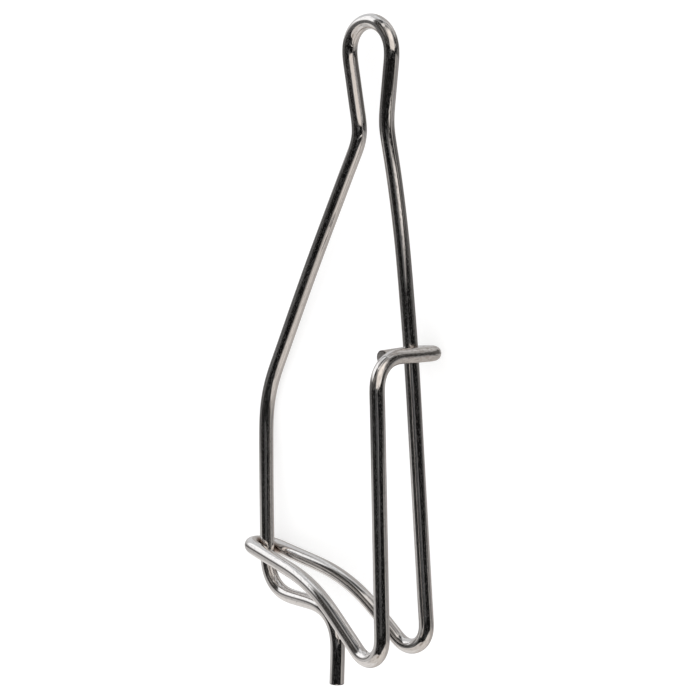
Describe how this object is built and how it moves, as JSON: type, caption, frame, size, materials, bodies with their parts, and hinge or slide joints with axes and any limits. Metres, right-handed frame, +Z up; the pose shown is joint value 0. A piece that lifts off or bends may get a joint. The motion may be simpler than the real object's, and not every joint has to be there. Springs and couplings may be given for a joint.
{
  "type": "line snap",
  "caption": "Spring-wire line snap like a large safety pin: an eye at the top, a body that narrows to it, and a latch whose hook closes round the leg.",
  "frame": {"origin": "centre of the footprint, on the surface that the snap lies on", "axes": "+Y along the length towards the eye, +X towards the latch, +Z up from the surface it lies on"},
  "size_m": [0.0468, 0.1287, 0.0262],
  "materials": {
    "wire": "bright drawn stainless spring wire, nearly mirror smooth, with fine draw lines along it and dull tool marks at the hook"
  },
  "bodies": {
    "root": {"snap_wire": "wire"}
  },
  "joints": []
}
